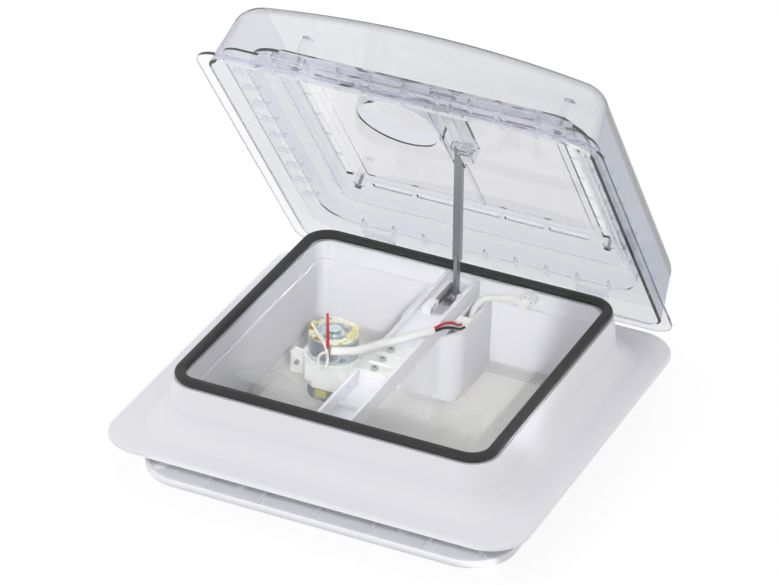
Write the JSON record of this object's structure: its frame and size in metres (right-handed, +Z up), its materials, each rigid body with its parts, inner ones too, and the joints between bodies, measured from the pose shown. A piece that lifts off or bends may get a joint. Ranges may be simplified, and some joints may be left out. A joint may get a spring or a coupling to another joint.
{
  "type": "caravan roof vent",
  "caption": "Square caravan roof vent with a hinged clear double-skin lid on a worm-driven lift arm, a motor fan on a crossbar, a rubber sealed neck and a screened ceiling frame.",
  "frame": {"origin": "centre of the square roof cut-out, on the roof surface where the flange lies", "axes": "+X to the right along the front edge, +Y from the front to the hinge side, +Z up out of the roof"},
  "size_m": [0.37, 0.413, 0.353],
  "materials": {
    "white_plastic": "moulded white ABS, semi-gloss",
    "clear_plastic": "clear moulded acrylic",
    "black_rubber": "extruded black rubber",
    "grey_steel": "folded sheet, grey plated",
    "bright_steel": "bright plated",
    "zinc_steel": "zinc plated",
    "screen_mesh": "pale woven screen",
    "dark_plastic": "moulded black",
    "grey_plastic": "moulded light grey",
    "yellow_resin": "dipped resin",
    "brass_tabs": "stamped",
    "copper_winding": "lacquered winding",
    "white_sleeve": "soft white sleeve",
    "red_wire": "wire insulation",
    "black_wire": "wire insulation"
  },
  "bodies": {
    "base": {"outer_frame": "white_plastic", "neck_gasket": "black_rubber", "inner_frame": "white_plastic", "frame_screws": "bright_steel", "screen_rim": "white_plastic", "insect_screen": "screen_mesh", "crossbar": "white_plastic", "crossbar_screws": "bright_steel", "control_well": "white_plastic", "control_panel": "white_plastic", "switch_body": "dark_plastic", "hinge_pins": "bright_steel", "arm_pivot_pin": "bright_steel", "gear_cover": "white_plastic", "motor_bracket": "white_plastic", "bracket_screws": "bright_steel", "motor_strap": "white_plastic", "strap_screws": "bright_steel", "motor_can": "zinc_steel", "motor_magnets": "dark_plastic", "motor_end_ring": "white_plastic", "motor_suppressors": "yellow_resin", "motor_terminals": "brass_tabs", "lead_sleeve": "white_sleeve", "wire_red": "red_wire", "wire_black": "black_wire", "motor_wire_red": "red_wire", "motor_wire_white": "white_sleeve", "lead_plug": "white_plastic", "control_lead": "white_sleeve", "control_connector": "white_plastic"},
    "fan": {"fan_shaft": "bright_steel", "motor_rotor": "copper_winding", "fan_wheel": "clear_plastic", "fan_nut": "bright_steel"},
    "lid": {"lid_dome": "clear_plastic", "lid_pane": "clear_plastic", "lid_track": "clear_plastic", "lid_posts": "clear_plastic", "lid_screws": "bright_steel", "lid_hinges": "white_plastic"},
    "arm": {"lift_arm": "grey_steel", "arm_gear": "zinc_steel", "arm_tip_pin": "bright_steel"},
    "shoe": {"rail_shoe": "clear_plastic"},
    "worm_drive": {"worm": "bright_steel", "worm_shaft": "bright_steel", "worm_bevel": "zinc_steel"},
    "crank": {"crank_bevel": "zinc_steel", "crank_shaft": "bright_steel", "crank_knob": "grey_plastic"},
    "rocker": {"switch_rocker": "dark_plastic"}
  },
  "joints": [
    {"name": "lid_hinge", "type": "hinge", "parent": "base", "child": "lid", "pos_m": [0, 0.1637, 0.0122], "axis": [-1, 0, 0], "range_deg": [-52.5, 0]},
    {"name": "arm_pivot", "type": "hinge", "parent": "base", "child": "arm", "pos_m": [0.005, 0.1095, 0.0355], "axis": [-1, 0, 0], "range_deg": [-76, 0]},
    {"name": "shoe_pivot", "type": "hinge", "parent": "arm", "child": "shoe", "pos_m": [0.0022, 0.1095, 0.17778], "axis": [-1, 0, 0], "range_deg": [0, 23.5]},
    {"name": "worm_spin", "type": "hinge", "parent": "base", "child": "worm_drive", "pos_m": [-0.002, 0.1, 0.0424], "axis": [0, 1, 0], "range_deg": [0, 1368]},
    {"name": "crank_spin", "type": "hinge", "parent": "base", "child": "crank", "pos_m": [-0.002, 0.07, 0], "axis": [0, 0, 1], "range_deg": [0, 1368]},
    {"name": "fan_spin", "type": "hinge", "parent": "base", "child": "fan", "pos_m": [-0.04, -0.038, 0], "axis": [0, 0, 1], "continuous": true},
    {"name": "switch_rock", "type": "hinge", "parent": "base", "child": "rocker", "pos_m": [0.013, 0.1006, -0.0244], "axis": [1, 0, 0], "range_deg": [-8, 8]}
  ],
  "couplings": [
    {"joint": "arm_pivot", "follows": "lid_hinge", "ratio": 1.447},
    {"joint": "shoe_pivot", "follows": "lid_hinge", "ratio": -0.44699},
    {"joint": "worm_spin", "follows": "lid_hinge", "ratio": -26.046},
    {"joint": "crank_spin", "follows": "lid_hinge", "ratio": -26.046}
  ]
}
